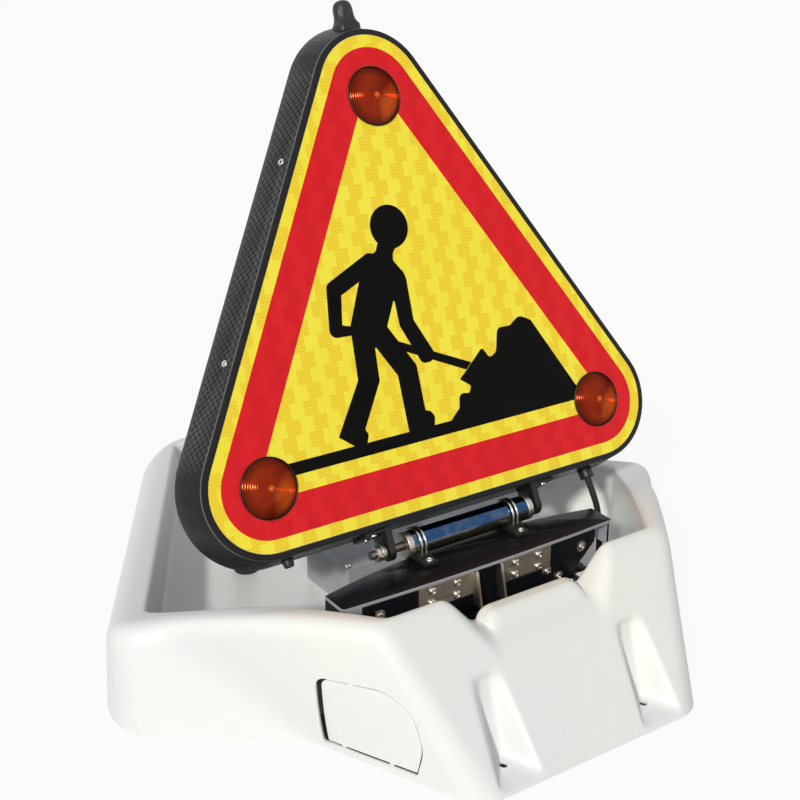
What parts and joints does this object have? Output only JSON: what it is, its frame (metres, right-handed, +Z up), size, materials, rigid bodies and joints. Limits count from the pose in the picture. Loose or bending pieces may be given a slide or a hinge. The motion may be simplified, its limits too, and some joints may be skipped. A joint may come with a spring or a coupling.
{
  "type": "led warning triangle",
  "caption": "Folding triangular road-works sign with flashing amber lamps on a motor drive inside a white moulded roof cowl; the sign lies back into the cowl for driving.",
  "frame": {"origin": "on the ground plane under the middle of the cowl", "axes": "+X to the right seen from the front, +Y back along the cowl towards its nose, +Z up"},
  "size_m": [0.7958, 0.8791, 0.7356],
  "materials": {
    "cowl_white": "glossy white moulding",
    "black_paint": "satin black paint",
    "stainless": "brushed stainless steel",
    "bright_tube": "polished",
    "turned_alloy": "turned",
    "black_plastic": "fine textured black plastic",
    "box_grey": "grey plastic",
    "sheet_alloy": "mill finish",
    "yellow_film": "yellow prismatic reflective film",
    "red_film": "red reflective film",
    "black_film": "black film",
    "amber_lens": "clear amber with rings",
    "lamp_cup": "bright reflector",
    "circuit_board": "green solder resist",
    "led": "clear amber",
    "black_rubber": "matt"
  },
  "bodies": {
    "base": {"cowl_shell": "cowl_white", "arch_panel_left": "cowl_white", "arch_panel_right": "cowl_white", "deck_beam": "black_paint", "tube_saddle_left": "black_paint", "tube_saddle_right": "black_paint", "gear_motor": "black_paint", "angle_bracket_left": "stainless", "angle_bracket_right": "stainless", "apron_screws": "stainless", "bracket_screws": "stainless", "beam_bolts": "stainless", "saddle_screws": "stainless", "clamp_wires": "stainless", "control_box_screws": "stainless", "drive_tube": "bright_tube", "drive_cap_left": "turned_alloy", "drive_cap_right": "turned_alloy", "box_gland": "black_plastic", "cable_clips": "black_plastic", "rest_posts": "black_plastic", "peg_catch": "black_plastic", "control_box": "box_grey", "control_box_lid": "box_grey", "control_board": "circuit_board", "rest_pads": "black_rubber", "lamp_cable": "black_rubber"},
    "sign": {"rim_frame": "black_plastic", "face_sheet": "sheet_alloy", "yellow_film": "yellow_film", "red_band_film": "red_film", "pictogram_film": "black_film", "back_cover": "black_plastic", "back_cover_screws": "stainless", "side_screws": "stainless", "flasher_unit": "black_plastic", "latch_peg": "black_plastic", "hinge_lug_left": "stainless", "hinge_lug_right": "stainless", "lug_screws": "stainless", "output_shaft": "stainless", "shaft_collar": "turned_alloy", "cross_pin": "stainless", "wire_clip": "stainless", "idler_pin": "stainless", "frame_gland": "black_plastic", "frame_plug": "black_plastic", "lamp_leds": "led", "lamp_bezel_top": "black_plastic", "lamp_lens_top": "amber_lens", "lamp_cup_top": "lamp_cup", "led_board_top": "circuit_board", "lamp_bezel_left": "black_plastic", "lamp_lens_left": "amber_lens", "lamp_cup_left": "lamp_cup", "led_board_left": "circuit_board", "lamp_bezel_right": "black_plastic", "lamp_lens_right": "amber_lens", "lamp_cup_right": "lamp_cup", "led_board_right": "circuit_board"}
  },
  "joints": [
    {"name": "sign_tilt", "type": "hinge", "parent": "base", "child": "sign", "pos_m": [0, -0.1815, 0.16], "axis": [1, 0, 0], "range_deg": [-73, 21.2], "deforming": ["lamp_cable"]}
  ]
}
